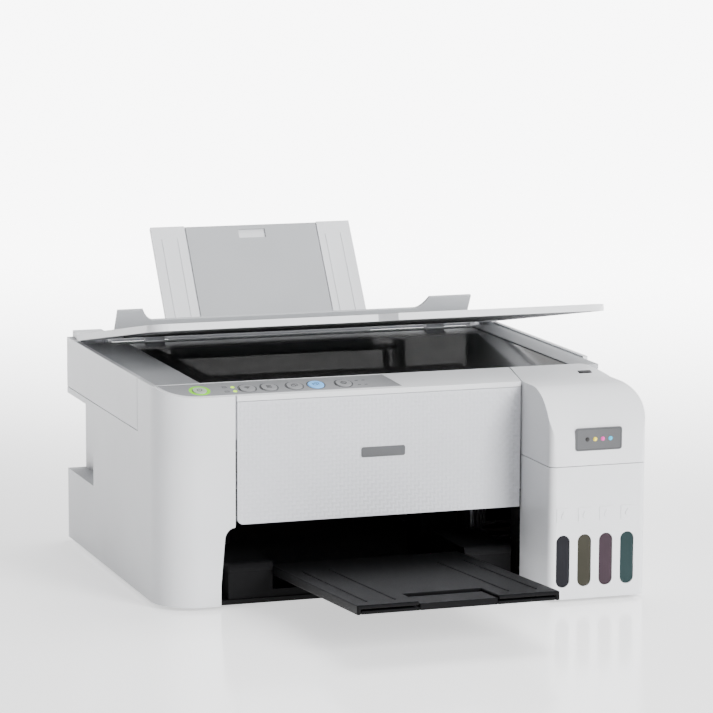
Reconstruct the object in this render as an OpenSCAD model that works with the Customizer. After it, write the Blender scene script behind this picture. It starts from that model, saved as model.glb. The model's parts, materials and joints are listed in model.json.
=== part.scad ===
// Inkjet printer with a flatbed scanner lid, side ink tanks and a rear sheet feeder.
// Millimetres, +Z up, +X to the right seen from the front, +Y to the rear.
// The origin is on the table, under the middle of the box round the printer as it stands.

/* [Overall] */
// Width of the body
body_w = 375; // [340:1:420]
// Depth from the front panel to the back of the housing
body_d = 288; // [270:1:330]
// Height of the rim round the scanner
rim_z = 173; // [165:1:200]
// Height of the front edge of the sloped control strip
front_rim_z = 166; // [158:1:190]
// Height of the underside of the housing above the table
foot_h = 3; // [2:0.5:6]
// Wall of the moulded covers
wall = 2.5; // [2:0.1:3.5]
// Plan radius of the front left corner
corner_r = 32; // [20:1:45]

/* [Seams] */
// Height of the seam under the scanner unit on the left side
seam_z = 131; // [125:1:140]
// Height of the seam between the two tank covers
tank_seam_z = 108; // [100:1:118]
// Depth of the front left column behind the front face
column_d = 67; // [50:1:90]
// Width of the front left column
column_w = 59; // [50:1:75]
// Gap between covers that part from each other
cover_gap = 1.2; // [0.8:0.1:2]

/* [Front] */
// Height of the lower edge of the front panel
panel_z = 66; // [60:1:80]
// Width of the ink tank housing
tank_w = 82; // [78:1:90]
// How far the tank housing stands out in front of the panel
tank_out = 60; // [50:1:70]
// Radius of the rounded top of the tank cover
tank_r = 40; // [25:1:45]
// Distance between the ink tanks
tank_pitch = 17.9; // [17.5:0.1:19.5]
// Width of a tank window
window_w = 11; // [8:0.5:13]
// Height of a tank window
window_h = 41; // [30:1:50]

/* [Scanner] */
// Width of the scanner glass
glass_w = 306; // [298:1:312]
// Depth of the scanner glass
glass_d = 218; // [212:1:222]
// Thickness of the scanner glass
glass_t = 3; // [2:0.5:4]
// Thickness of the document lid
lid_t = 5.5; // [4:0.5:8]
// Opening angle of the document lid as the printer stands
lid_open = 10; // [5:1:25]
// Depth of the control strip
strip_d = 24; // [22:1:26]
// Diameter of a round button
button_dia = 12.6; // [10:0.2:13.4]
// Diameter of the power button
power_dia = 11; // [9:0.2:12]

/* [Output] */
// Width of the output tray
tray_w = 157; // [140:1:170]
// How far the output tray stands out in front of the panel
tray_reach = 195; // [160:1:210]
// Upward slope of the output tray
tray_slope = 3.7; // [3:0.1:5]
// Thickness of the output tray
tray_t = 7; // [5:0.5:9]

/* [Sheet feeder] */
// Width between the ears of the feeder guard
feed_w = 232; // [222:1:240]
// Backward lean of the paper support
support_lean = 34; // [30:1:40]
// Height of the top of the paper support
support_top_z = 253; // [240:1:265]
// Forward lean of the feeder guard
guard_lean = 30; // [20:1:35]

/* [Mechanism] */
// Radius of the carriage rail
rail_r = 4; // [3:0.5:6]
// Radius of the paper feed roller
feed_r = 7; // [5:0.5:8]
// Radius of the shaft of every roller
shaft_r = 3; // [2.5:0.5:4]
// Radial running clearance of shafts in their bearings
run = 0.05; // [0.02:0.01:0.1]
// Clearance between pieces that don't touch
gap = 0.4; // [0.3:0.1:0.8]

/* [Hidden] */
$fn = 48;
half_w = body_w / 2;
panel_l = -half_w + column_w + 1.5;
panel_r = half_w - tank_w;
tank_l = panel_r + cover_gap;
tank_mid = half_w - tank_w / 2 - 1.75;
tank_half = (tank_pitch - 1.9) / 2;
pivot_y = body_d + 10;
support_pivot_z = 150;
support_t = 4;
support_rise = (support_top_z - support_pivot_z - support_t * sin(support_lean)) / cos(support_lean);
support_back = pivot_y + support_rise * sin(support_lean);
rear_y = support_back;
front_y = -(rear_y - tray_reach) / 2;
strip_tilt = atan((rim_z - front_rim_z) / (strip_d + 2));
glass_l = -146;
glass_front = 30;
lid_axis = [0, body_d - 29, rim_z + 3.6];
lid_bottom = rim_z + 0.8;
lid_pin_r = 1.2;
lid_hinge_x = [-120, 128];
lift_axis = [0, body_d + 1, seam_z - 2];
guard_axis = [0, body_d - 7.4, rim_z - 3];
guard_mid = -2;
scan_rail_z = rim_z - 27;
feeder_y = body_d - 29;
floor_t = 4;
floor_top = foot_h + floor_t;
tray_mid = -18.5;
tray_root_z = 31;
feed_axis = [0, 150, 60];
eject_axis = [0, 96, 60];
motor_axis = [0, feed_axis[1] + 22, feed_axis[2]];
motor_shaft_r = 1.5;
pick_axis = [0, feeder_y - 15, 74];
rail_axis = [0, 176, 104];
belt_front = 190;
belt_w = 6;
belt_z = 106;
pulley_r = 7;
frame_l = -126;
frame_r = 96;
frame_t = 2;
carriage_x = -20;
button_y = 13.5;
button_x = [-115, -97.5, -77, -59.5, -37];
power_x = -153;
led_x = -125.7;
ink_names = ["black", "yellow", "magenta", "cyan"];
ink_colours = ["black", "gold", "mediumvioletred", "darkcyan"];

// ---- helpers ----
// Carries a drawing from the front panel's plane to the origin's place.
module placed() {
    translate([0, front_y, 0]) children();
}
// A box from its lowest corner to its highest corner.
module block(low, high) {
    translate(low) cube(high - low);
}
// A flat rectangle with round corners, drawn from exact arcs.
module round_rect(low, high, r) {
    translate([low[0] + r, low[1]]) square([high[0] - low[0] - 2 * r, high[1] - low[1]]);
    translate([low[0], low[1] + r]) square([high[0] - low[0], high[1] - low[1] - 2 * r]);
    for (x = [low[0] + r, high[0] - r])
        for (y = [low[1] + r, high[1] - r])
            translate([x, y]) circle(r);
}
// Turns a flat drawing in Y and Z into a bar from one X to another.
module along_x(x0, x1) {
    translate([x0, 0, 0]) rotate([90, 0, 90]) linear_extrude(x1 - x0) children();
}
// A round bar along X.
module rod(x0, x1, at, r) {
    translate([x0, at[1], at[2]]) rotate([0, 90, 0]) cylinder(h = x1 - x0, r = r);
}
// Turns its children about an axis along X: a positive angle lifts the front.
module lifted(axis, angle) {
    translate(axis) rotate([-angle, 0, 0]) translate(-axis) children();
}
// The plan outline of the body, inset by a distance.
module body_plan(inset) {
    r = corner_r - inset;
    translate([-half_w + inset, inset + r]) square([body_w - 2 * inset, body_d - 2 * inset - r]);
    translate([-half_w + inset + r, inset]) square([body_w - 2 * inset - r, r + 1]);
    translate([-half_w + inset + r, inset + r]) circle(r, $fn = 96);
}
// The side profile under the rim, with its slope over the control strip.
module rim_profile(top) {
    polygon([
        [-1, 0], [body_d + 1, 0], [body_d + 1, top], [strip_d + 2, top],
        [0, top - rim_z + front_rim_z], [-1, top - rim_z + front_rim_z]
    ]);
}
// The side outline of the tank housing, from the table up, inset by a distance.
module tank_profile(inset) {
    r = tank_r - inset;
    y = -tank_out + tank_r;
    z = front_rim_z - tank_r;
    translate([y, z]) circle(r, $fn = 96);
    translate([-tank_out + inset, foot_h]) square([tank_out + 20, z - foot_h]);
    translate([y, foot_h]) square([20 - y, front_rim_z - inset - foot_h]);
}
// The plan outline of the tank housing, inset by a distance.
module tank_plan(inset) {
    round_rect([tank_l + inset, -tank_out + inset], [half_w - inset, 60], 6 - inset);
}
// The front outline of the left column, inset by a distance.
module column_outline(inset) {
    right = -half_w + column_w - inset;
    foot = right - 13 + inset / 4;
    polygon(concat(
        [[-half_w - 1, foot_h - 1], [foot, foot_h - 1]],
        [for (a = [180:-15:90]) [right + 8 * cos(a) - 0.5, panel_z - 12 + 10 * sin(a)]],
        [[right, panel_z - 1], [right, rim_z + 10], [-half_w - 1, rim_z + 10]]
    ));
}
// The outline of a gear with straight-sided teeth and easy backlash.
module gear_outline(teeth, phase) {
    pitch = 360 / teeth;
    r = teeth / 2;
    polygon([for (i = [0:teeth - 1]) for (p = [
        [-0.3, r - 1.1], [-0.19, r - 0.2], [-0.1, r + 0.7],
        [0.1, r + 0.7], [0.19, r - 0.2], [0.3, r - 1.1]
    ]) let (a = phase + (i + p[0]) * pitch) [p[1] * cos(a), p[1] * sin(a)]]);
}
// A gear on an axis along X, with a bore.
module gear(at, x, teeth, phase, bore) {
    difference() {
        translate([0, at[1], at[2]])
            along_x(x, x + 5) gear_outline(teeth, phase);
        rod(x - 1, x + 6, at, bore);
    }
}
// A capsule outline standing upright.
module capsule(w, h) {
    translate([-w / 2, w / 2]) square([w, h - w]);
    translate([0, w / 2]) circle(w / 2);
    translate([0, h - w / 2]) circle(w / 2);
}
// Places its children on the sloped control strip, at a distance behind the front rim.
module on_strip(x, y) {
    translate([x, 0, front_rim_z - 0.2]) rotate([strip_tilt, 0, 0])
        translate([0, y / cos(strip_tilt), 0]) children();
}
// The X of an ink tank, from the left.
function tank_x(i) = tank_mid + (i - 1.5) * tank_pitch;

// ---- base ----
module base_pan() {
    inset = wall + gap;
    color([0.1, 0.1, 0.1]) placed() {
        difference() {
            translate([0, 0, foot_h]) linear_extrude(floor_t) {
                body_plan(inset);
                intersection() {
                    tank_plan(inset);
                    block2([tank_l, -tank_out], [half_w, 20]);
                }
            }
            block([-half_w, body_d - 88, 0], [-half_w + 27.5, body_d, 20]);
            for (p = foot_places())
                translate([p[0], p[1], 0]) cylinder(h = foot_h + 1.5, r = 6 + gap / 2);
        }
    }
}
function foot_places() = [
    [-half_w + 19.5, 30], [-half_w + 37.5, body_d - 26], [half_w - 19.5, body_d - 26],
    [half_w - 19.5, 20 - tank_out], [panel_r - 15.5, 30]
];
module rubber_feet() {
    color([0.15, 0.15, 0.15]) placed()
        for (p = foot_places())
            translate([p[0], p[1], 0]) cylinder(h = foot_h + 1.4, r = 6);
}
module housing_shell() {
    difference() {
        intersection() {
            translate([0, 0, foot_h]) linear_extrude(rim_z) body_plan(0);
            along_x(-half_w - 1, half_w + 1) rim_profile(rim_z);
        }
        translate([0, 0, -1]) linear_extrude(rim_z * 2) body_plan(wall);
        block([-half_w - 1, column_d, seam_z], [half_w + 1, body_d + 1, rim_z + 9]);
        block([0, 60, seam_z], [half_w + 1, body_d + 1, rim_z + 9]);
        block([-half_w + column_w - 11.5, -1, -1], [half_w + 1, 60 + cover_gap, rim_z + 9]);
    }
}
module lower_housing() {
    recess = [[-half_w - 1, body_d - 84, 62], [-half_w + 15.5, body_d + 1, 126]];
    color([0.93, 0.93, 0.94]) placed() {
        difference() {
            union() {
                housing_shell();
                intersection() {
                    translate([0, wall, 0]) rotate([90, 0, 0])
                        linear_extrude(wall) column_outline(0);
                    block([-half_w + corner_r, 0, foot_h], [half_w, wall, rim_z]);
                    along_x(-half_w - 1, half_w + 1) rim_profile(rim_z);
                }
                translate([0, column_d, 0]) rotate([90, 0, 0]) linear_extrude(column_d - wall)
                    difference() {
                        intersection() {
                            column_outline(0);
                            block2([-half_w + corner_r, floor_top + gap], [half_w, seam_z]);
                        }
                        column_outline(wall);
                    }
                block([-half_w + 1, column_d - wall, floor_top + gap], [-half_w + column_w - 15, column_d, seam_z]);
                block([-half_w + 37.5, body_d - wall, seam_z - 3], [half_w - 22.5, body_d, seam_z + 3]);
                for (x = [-120, 106])
                    block([x, body_d - wall, seam_z - 3], [x + 6, pivot_y + 5, support_pivot_z + 6]);
                block([-half_w, body_d - 84 - wall, 60], [-half_w + 15.5 + wall, body_d, 126 + wall]);
            }
            block(recess[0], recess[1]);
            for (x = [-121, 105]) rod(x, x + 8, [0, pivot_y, support_pivot_z], 2.5 + run);
            block([41 - gap, body_d - 4, 21 - gap], [77 + gap, body_d + 1, 43 + gap]);
            block([124 - gap, body_d - 4, 32 - gap], [136 + gap, body_d + 1, 42 + gap]);
        }
    }
}
module tank_lower_cover() {
    color([0.93, 0.93, 0.94]) placed() {
        difference() {
            translate([0, 0, foot_h]) linear_extrude(tank_seam_z - foot_h - cover_gap / 2)
                difference() {
                    tank_plan(0);
                    tank_plan(wall);
                    block2([tank_l - 1, 60 - wall], [half_w + 1, 61]);
                    block2([tank_l - 1, 2], [tank_l + wall + 1, 61]);
                }
            for (i = [0:3])
                translate([tank_x(i), -tank_out + wall + 1, 12.5]) rotate([90, 0, 0])
                    linear_extrude(wall + 2) capsule(window_w + 0.4, window_h + 0.4);
        }
        for (i = [0:3])
            translate([tank_x(i) - 5.5, -tank_out - 0.4, 64]) cube([11, 1, 11]);
    }
}
module block2(low, high) {
    translate(low) square(high - low);
}
module tank_windows() {
    color([0.2, 0.2, 0.22, 0.6]) placed()
        for (i = [0:3])
            translate([tank_x(i), -tank_out + wall - 0.3, 12.7]) rotate([90, 0, 0])
                linear_extrude(wall - 0.8) capsule(window_w, window_h);
}
module ink_tank(i) {
    color(ink_colours[i]) placed() {
        difference() {
            union() {
                block([tank_x(i) - tank_half, -tank_out + wall + 1.6, floor_top], [tank_x(i) + tank_half, 30, 72]);
                translate([tank_x(i), -34, 71]) cylinder(h = 9, r = 5);
            }
            translate([tank_x(i), -34, 74]) cylinder(h = 9, r = 3.2);
        }
    }
}
module ink_tank_black() ink_tank(0);
module ink_tank_yellow() ink_tank(1);
module ink_tank_magenta() ink_tank(2);
module ink_tank_cyan() ink_tank(3);
module tank_cap(i) {
    color(ink_colours[i]) placed() {
        translate([tank_x(i), -34, 80.4]) cylinder(h = 4, r = 6.4);
        translate([tank_x(i), -34, 78.4]) cylinder(h = 3, r = 2.7);
        block([tank_x(i) - 3, -34, 80.4], [tank_x(i) + 3, -20, 83]);
        rod(tank_x(i) - 6, tank_x(i) + 6, [0, -20, 81], 1.8);
    }
}
module tank_cap_black() tank_cap(0);
module tank_cap_yellow() tank_cap(1);
module tank_cap_magenta() tank_cap(2);
module tank_cap_cyan() tank_cap(3);
module ink_tubes() {
    r = 1.8;
    color([0.25, 0.25, 0.25]) placed()
        for (i = [0:3]) {
            x = tank_x(i);
            end_x = frame_r + 5 + 5 * i;
            y = 90 + 5 * i;
            z = 16 + 5 * i;
            translate([x, 30, z]) rotate([-90, 0, 0]) cylinder(h = y - 30 + r, r = r);
            rod(end_x - r, x + r, [0, y, z], r);
            translate([end_x, y, z - r]) cylinder(h = 70, r = r);
        }
}

// ---- mechanism ----
module main_frame() {
    color([0.7, 0.7, 0.72]) placed() {
        difference() {
            for (x = [frame_l, frame_r])
                block([x, 84, floor_top], [x + frame_t, feeder_y - 1, 124]);
            for (a = [feed_axis, eject_axis, pick_axis])
                rod(frame_l - 1, frame_r + 9, a, shaft_r + run);
            rod(frame_l - 1, frame_r + 9, rail_axis, rail_r + run);
            rod(frame_l - 1, frame_r + 9, feed_axis + [0, 0, feed_r + 5], 1.5 + run);
            rod(frame_l - 1, frame_l + frame_t + 1, motor_axis, motor_shaft_r + run);
            for (x = [frame_l, frame_r]) block([x - 1, 196, 20], [x + 9, 238, 100]);
        }
        difference() {
            block([frame_l + frame_t, 202, 84], [frame_r, 204, 124]);
            translate([frame_l + 16, 210, belt_z]) rotate([90, 0, 0]) cylinder(h = 12, r = 2.5);
        }
        block([frame_l + frame_t, 84, 118], [frame_r, 100, 120]);
        translate([frame_r - 16, 202.5, belt_z]) rotate([90, 0, 0]) cylinder(h = 13, r = 2);
        translate([frame_l, transfer_y(), 60]) rotate([0, -90, 0]) cylinder(h = 10, r = 2);
    }
}
function transfer_y() = (feed_axis[1] + eject_axis[1]) / 2;
module carriage_rail() {
    color([0.8, 0.8, 0.82]) placed() rod(frame_l - 3, frame_r + 5, rail_axis, rail_r);
}
module carriage() {
    color([0.2, 0.2, 0.22]) placed() {
        difference() {
            union() {
                block([carriage_x - 28, 104, 79], [carriage_x + 28, 188, 112]);
                block([carriage_x - 6, 187, belt_z - 12], [carriage_x + 6, belt_front - gap, belt_z - 2]);
                block([carriage_x - 28, 104, 111], [carriage_x + 28, 150, 116]);
            }
            rod(carriage_x - 30, carriage_x + 30, rail_axis, rail_r + run);
            block([carriage_x - 25, 108, 90], [carriage_x + 25, 146, 108]);
        }
    }
}
module print_head() {
    color([0.5, 0.5, 0.52]) placed() {
        block([carriage_x - 22, 110, 69], [carriage_x + 22, 140, 79]);
        block([carriage_x - 18, 113, 67], [carriage_x + 18, 137, 69]);
    }
}
module belt_loop(r, y0, y1) {
    x0 = frame_l + 16;
    x1 = frame_r - 16;
    translate([0, y1, 0]) rotate([90, 0, 0]) linear_extrude(y1 - y0) {
        translate([x0, belt_z - r]) square([x1 - x0, 2 * r]);
        for (x = [x0, x1]) translate([x, belt_z]) circle(r);
    }
}
module drive_belt() {
    color([0.12, 0.12, 0.12]) placed()
        difference() {
            belt_loop(pulley_r + 1.4, belt_front, belt_front + belt_w);
            belt_loop(pulley_r + 0.4, belt_front - 1, belt_front + belt_w + 1);
        }
}
module pulley(x) {
    difference() {
        translate([x, 197.5, belt_z]) rotate([90, 0, 0]) {
            translate([0, 0, 1]) cylinder(h = 7, r = pulley_r);
            cylinder(h = 1, r = pulley_r + 1);
            translate([0, 0, 8]) cylinder(h = 1, r = pulley_r + 1);
        }
        translate([x, 199, belt_z]) rotate([90, 0, 0]) cylinder(h = 12, r = 2 + run);
    }
}
module motor_pulley() color([0.75, 0.7, 0.5]) placed() pulley(frame_l + 16);
module idler_pulley() color([0.9, 0.9, 0.9]) placed() pulley(frame_r - 16);
module carriage_motor() {
    x = frame_l + 16;
    color([0.6, 0.6, 0.62]) placed() {
        translate([x, 234, belt_z]) rotate([90, 0, 0]) cylinder(h = 30, r = 13);
        translate([x, 204.5, belt_z]) rotate([90, 0, 0]) cylinder(h = 16, r = 2);
    }
}
module feed_roller() {
    color([0.3, 0.3, 0.3]) placed() {
        rod(frame_l - 10, frame_r + 6, feed_axis, shaft_r);
        for (i = [0:4]) rod(frame_l + 12 + i * 40, frame_l + 38 + i * 40, feed_axis, feed_r);
        gear(feed_axis, frame_l - 8, 32, 0, shaft_r - 0.5);
        rod(frame_r + 4, frame_r + 5, feed_axis, 12);
    }
}
module transfer_gear() {
    color([0.92, 0.92, 0.9]) placed()
        gear([0, transfer_y(), 60], frame_l - 8, 22, 180 / 22, 2 + run);
}
module eject_roller() {
    color([0.3, 0.3, 0.3]) placed() {
        rod(frame_l - 10, frame_r + 6, eject_axis, shaft_r);
        for (i = [0:5]) rod(frame_l + 12 + i * 34, frame_l + 22 + i * 34, eject_axis, feed_r - 1);
        gear(eject_axis, frame_l - 8, 32, 0, shaft_r - 0.5);
    }
}
module motor_pinion() {
    color([0.8, 0.7, 0.4]) placed()
        gear(motor_axis, frame_l - 8, 12, 15, motor_shaft_r + run);
}
module feed_motor() {
    color([0.6, 0.6, 0.62]) placed() {
        rod(frame_l + frame_t + gap, frame_l + frame_t + 30, motor_axis, 12);
        rod(frame_l - 9, frame_l + frame_t + 1, motor_axis, motor_shaft_r);
    }
}
module platen() {
    color([0.15, 0.15, 0.15]) placed() {
        difference() {
            block([frame_l + frame_t + gap, 106, 50], [frame_r - 34.6, 140, 63]);
            block([frame_l + 12, 112, 60], [frame_r - 46, 134, 64]);
        }
        for (i = [0:8]) block([frame_l + 16 + i * 18, 112, 60], [frame_l + 18 + i * 18, 134, 64.5]);
        for (x = [frame_l + 4, frame_l + 20]) block([x, 116, floor_top], [x + 8, 130, 50]);
    }
}
module pinch_roller() {
    at = feed_axis + [0, 0, feed_r + 5];
    color([0.85, 0.85, 0.85]) placed() {
        rod(frame_l - 2, frame_r + 4, at, 1.5);
        for (i = [0:3]) rod(frame_l + 20 + i * 48, frame_l + 44 + i * 48, at, 4.6);
    }
}
module pickup_roller() {
    color([0.35, 0.35, 0.35]) placed() {
        rod(frame_l - 4, frame_r + 6, pick_axis, shaft_r);
        difference() {
            rod(-50, 10, pick_axis, 12);
            block([-51, pick_axis[1] - 13, pick_axis[2] + 8], [11, pick_axis[1] + 13, pick_axis[2] + 14]);
        }
    }
}
module feeder_tray() {
    color([0.25, 0.25, 0.27]) placed() {
        translate([0, feeder_y, 0]) along_x(-128, 118) polygon([
            [0, 52], [5, 52], [9, 96], [26, 128], [26, 131], [22, 131], [4, 97]
        ]);
        for (x = [-128, 115])
            translate([0, feeder_y, 0])
                along_x(x, x + 3) polygon([[0, floor_top], [25, floor_top], [26, 128], [5, 90]]);
    }
}
module edge_guide() {
    color([0.3, 0.3, 0.33]) placed() translate([90, feeder_y, 0])
        along_x(0, 3) polygon([
            [3.4, 98], [-2, 108], [-2, 118], [10, 128], [16, 150], [25, 150], [21.4, 131.6]
        ]);
}
module paper_support() {
    w = 180;
    x = -4 - w / 2;
    color([0.9, 0.9, 0.91]) placed() {
        rod(-119, 111, [0, pivot_y, support_pivot_z], 2.5);
        translate([0, pivot_y, support_pivot_z]) rotate([-support_lean, 0, 0])
            difference() {
                translate([x, -support_t, 0]) cube([w, support_t, support_rise]);
                translate([x + 30, -support_t - 1, 20]) cube([w - 60, 2.6, support_rise]);
            }
    }
}
module support_extension() {
    w = 118;
    color([0.82, 0.82, 0.84]) placed()
        translate([0, pivot_y, support_pivot_z]) rotate([-support_lean, 0, 0])
            translate([-4 - w / 2, -support_t + 0.1, 22]) difference() {
                cube([w, 1.1, support_rise - 23]);
                translate([w / 2 - 12, -1, support_rise - 35]) cube([24, 3, 8]);
            }
}
module cap_station() {
    color([0.2, 0.2, 0.22]) placed() {
        block([frame_r - 34, 108, floor_top], [frame_r - 2, 140, 58]);
        difference() {
            block([frame_r - 32, 112, 58], [frame_r - 4, 136, 65]);
            block([frame_r - 29, 115, 61], [frame_r - 7, 133, 66]);
        }
    }
}
module power_supply() {
    color([0.2, 0.2, 0.2]) placed() block([112, body_d - 148, floor_top], [half_w - 9.5, body_d - 32, 42]);
}
module ac_inlet() {
    color([0.1, 0.1, 0.1]) placed()
        difference() {
            block([41, body_d - 24, 21], [77, body_d - 0.5, 43]);
            block([46, body_d - 18, 25], [72, body_d + 1, 39]);
            for (x = [52, 66]) block([x - 4, body_d - 30, 30], [x + 4, body_d - 17, 34]);
        }
}
module main_board() {
    color([0.1, 0.4, 0.2]) placed() {
        block([121, body_d - 22, floor_top], [182, body_d - 20.4, 120]);
        block([124, body_d - 20.4, 32], [136, body_d - 0.5, 42]);
        block([150, body_d - 24.6, 60], [172, body_d - 22, 82]);
        block([126, body_d - 26, 96], [160, body_d - 22, 102]);
    }
}

// ---- output tray ----
// Places its children on the tray: -Y leads out of the printer, up the tray's slope.
module on_tray() {
    translate([tray_mid, 0, tray_root_z]) rotate([-tray_slope, 0, 0]) children();
}
function tray_end() = (tray_reach - 9 * sin(tray_slope)) / cos(tray_slope);
module tray_frame() {
    color([0.12, 0.12, 0.13]) placed() {
        for (side = [[-133, tray_mid - tray_w / 2 - 0.5], [tray_mid + tray_w / 2 + 0.5, 100]]) {
            block([side[0], 4, floor_top], [side[1], 80, 34]);
            rod(side[0], side[1], [0, 7, 31], 4);
        }
        block([tray_mid - tray_w / 2 - 0.5, 4, floor_top], [tray_mid + tray_w / 2 + 0.5, 80, floor_top + 6]);
    }
}
module output_tray() {
    end = tray_end();
    w = tray_w;
    color([0.22, 0.22, 0.24]) placed() on_tray() {
        difference() {
            translate([-w / 2, -end, -tray_t]) cube([w, end + 16, tray_t]);
            translate([-w / 2 + 3, -end - 1, -tray_t - 1]) cube([w - 6, end + 18, tray_t - 2]);
            translate([-31, -end - 1, -tray_t - 1]) cube([62, 37, tray_t + 2]);
        }
    }
}
module tray_extension() {
    end = tray_end();
    color([0.26, 0.26, 0.28]) placed() on_tray()
        difference() {
            translate([-tray_w / 2 + 3.4, -end + 0.4, -tray_t + 0.2]) cube([tray_w - 6.8, 120, 2.4]);
            translate([-30.4, -end - 1, -tray_t - 1]) cube([60.8, 34.2, 6]);
        }
}
module tray_stopper() {
    end = tray_end();
    color([0.2, 0.2, 0.22]) placed() on_tray()
        difference() {
            translate([-30, -end + 0.4, -tray_t + 0.2]) cube([60, 32, tray_t - 2]);
            translate([-8, -end + 22, -tray_t - 1]) cube([16, 6, 6]);
        }
}

// ---- scanner unit ----
module scanner_outline() {
    difference() {
        translate([0, 0, seam_z + cover_gap / 2]) linear_extrude(rim_z) body_plan(0);
        block([-half_w - 1, -1, 0], [panel_l, column_d + cover_gap, rim_z * 2]);
        block([panel_r, -1, 0], [half_w + 1, 60 + cover_gap, rim_z * 2]);
    }
    intersection() {
        translate([0, 0, seam_z + cover_gap / 2]) linear_extrude(rim_z) body_plan(wall + gap);
        block([-half_w, 0, 0], [panel_l + 1, column_d + cover_gap + 1, rim_z * 2]);
    }
}
module scanner_case() {
    color([0.94, 0.94, 0.95]) placed() {
        difference() {
            intersection() {
                scanner_outline();
                along_x(-half_w - 1, half_w + 1) rim_profile(rim_z);
            }
            difference() {
                translate([0, 0, seam_z + wall + 1]) linear_extrude(rim_z) body_plan(wall * 2);
                along_x(-half_w, half_w)
                    polygon([[0, rim_z - 10], [29, rim_z - 2], [29, rim_z + 1], [0, rim_z + 1]]);
            }
            block([-half_w + 4, 28, rim_z - 6], [half_w - 4, body_d - 30, rim_z + 3]);
            block([-154, body_d - 23, 0], [168.4, body_d + 1, rim_z + 9]);
            block([panel_l, -1, 0], [panel_r + 1, wall + gap + 0.3, rim_z - 11]);
            control_recess();
            for (x = lid_hinge_x) block([x - 8.4, body_d - 38, rim_z - 9], [x + 8.4, body_d - 25, rim_z + 3]);
        }
        for (x = [[-half_w + 4, -159], [172.6, half_w - 2]])
            block([x[0], body_d - 20, rim_z - 1], [x[1], body_d - 4, rim_z + 6]);
        for (x = [-158, 169])
            difference() {
                block([x, body_d - 24, rim_z - 23], [x + 3, body_d - 1, rim_z - 1]);
                rod(x - 1, x + 4, guard_axis, 2 + run);
            }
    }
}
module strip_outline(inset) {
    intersection() {
        polygon([
            [-half_w + inset, 1.5 + inset], [8.8 - inset, 1.5 + inset],
            [-1.7 - inset, strip_d + 2 - inset], [-half_w + inset, strip_d + 2 - inset]
        ]);
        body_plan(wall + gap * 2 + 0.4 + inset);
    }
}
module control_recess() {
    intersection() {
        translate([0, 0, front_rim_z - 8]) linear_extrude(20) strip_outline(-0.2);
        translate([0, 0, 1]) along_x(-half_w - 1, half_w + 1) difference() {
            translate([0, front_rim_z - 9]) square([40, 30]);
            rim_profile(rim_z - 5.8);
        }
    }
}
module control_strip() {
    color([0.7, 0.7, 0.71]) placed() {
        difference() {
            intersection() {
                translate([0, 0, front_rim_z - 8]) linear_extrude(20) strip_outline(0);
                along_x(-half_w, 20) difference() {
                    rim_profile(rim_z - 0.2);
                    rim_profile(rim_z - 2.4);
                }
            }
            for (x = button_x) on_strip(x, button_y) cylinder(h = 9, r = button_dia / 2 + 0.3, center = true);
            on_strip(power_x, button_y) cylinder(h = 9, r = power_dia / 2 + 0.3, center = true);
            for (y = [button_y - 3.6, button_y + 3.6])
                on_strip(led_x, y) cylinder(h = 9, r = 1.8, center = true);
        }
    }
}
module button_body(x, dia) {
    on_strip(x, button_y) {
        translate([0, 0, -1.2]) cylinder(h = 1.9, r = dia / 2);
        translate([0, 0, -2.2]) cylinder(h = 1.2, r = dia / 2 - 2);
    }
}
module power_button() color([0.8, 0.85, 0.8]) placed() button_body(power_x, power_dia);
module network_button() color([0.75, 0.75, 0.76]) placed() button_body(button_x[0], button_dia);
module info_button() color([0.75, 0.75, 0.76]) placed() button_body(button_x[1], button_dia);
module mono_button() color([0.75, 0.75, 0.76]) placed() button_body(button_x[2], button_dia);
module colour_button() color([0.6, 0.75, 0.85]) placed() button_body(button_x[3], button_dia);
module stop_button() color([0.6, 0.6, 0.61]) placed() button_body(button_x[4], button_dia);
module status_lights() {
    color([0.7, 0.9, 0.2]) placed()
        for (y = [button_y - 3.6, button_y + 3.6])
            on_strip(led_x, y) translate([0, 0, -2]) cylinder(h = 2.1, r = 1.5);
}
module front_panel() {
    color([0.83, 0.83, 0.86]) placed() {
        translate([0, wall, 0]) rotate([90, 0, 0]) linear_extrude(wall) {
            translate([panel_l + 5, panel_z])
                square([panel_r - panel_l - 5, rim_z - 11 - gap - panel_z]);
            translate([panel_l, panel_z + 5])
                square([10, rim_z - 11 - gap - panel_z - 5]);
            translate([panel_l + 5, panel_z + 5]) circle(5);
        }
        block([panel_l + 6, wall, panel_z], [panel_r - 2, 14, panel_z + 2]);
    }
}
module tank_cover_solid(inset) {
    intersection() {
        along_x(tank_l + inset, half_w - inset) {
            tank_profile(inset);
            polygon([
                [-1, foot_h], [60 - inset, foot_h], [60 - inset, rim_z - inset],
                [strip_d + 2, rim_z - inset], [0, front_rim_z - inset], [-1, front_rim_z - inset]
            ]);
        }
        translate([0, 61, 0]) rotate([90, 0, 0]) linear_extrude(125) {
            r = 22 - inset;
            translate([tank_l, 0]) square([half_w - inset - r - tank_l, rim_z + 9]);
            translate([tank_l, 0]) square([half_w - inset - tank_l, rim_z - inset - r]);
            translate([half_w - inset - r, rim_z - inset - r]) circle(r, $fn = 96);
        }
        translate([0, 0, foot_h]) linear_extrude(rim_z) tank_plan(inset);
    }
}
module tank_upper_cover() {
    color([0.94, 0.94, 0.95]) placed()
        difference() {
            tank_cover_solid(0);
            tank_cover_solid(wall);
            block([tank_l - 1, -tank_out - 1, 0], [half_w + 1, 62, tank_seam_z]);
            block([tank_l - 1, 28, 0], [half_w - 4, 62, rim_z + 3]);
            block([tank_l - 1, 3, 0], [half_w - wall - 1, 62, rim_z - 16]);
        }
}
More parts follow.
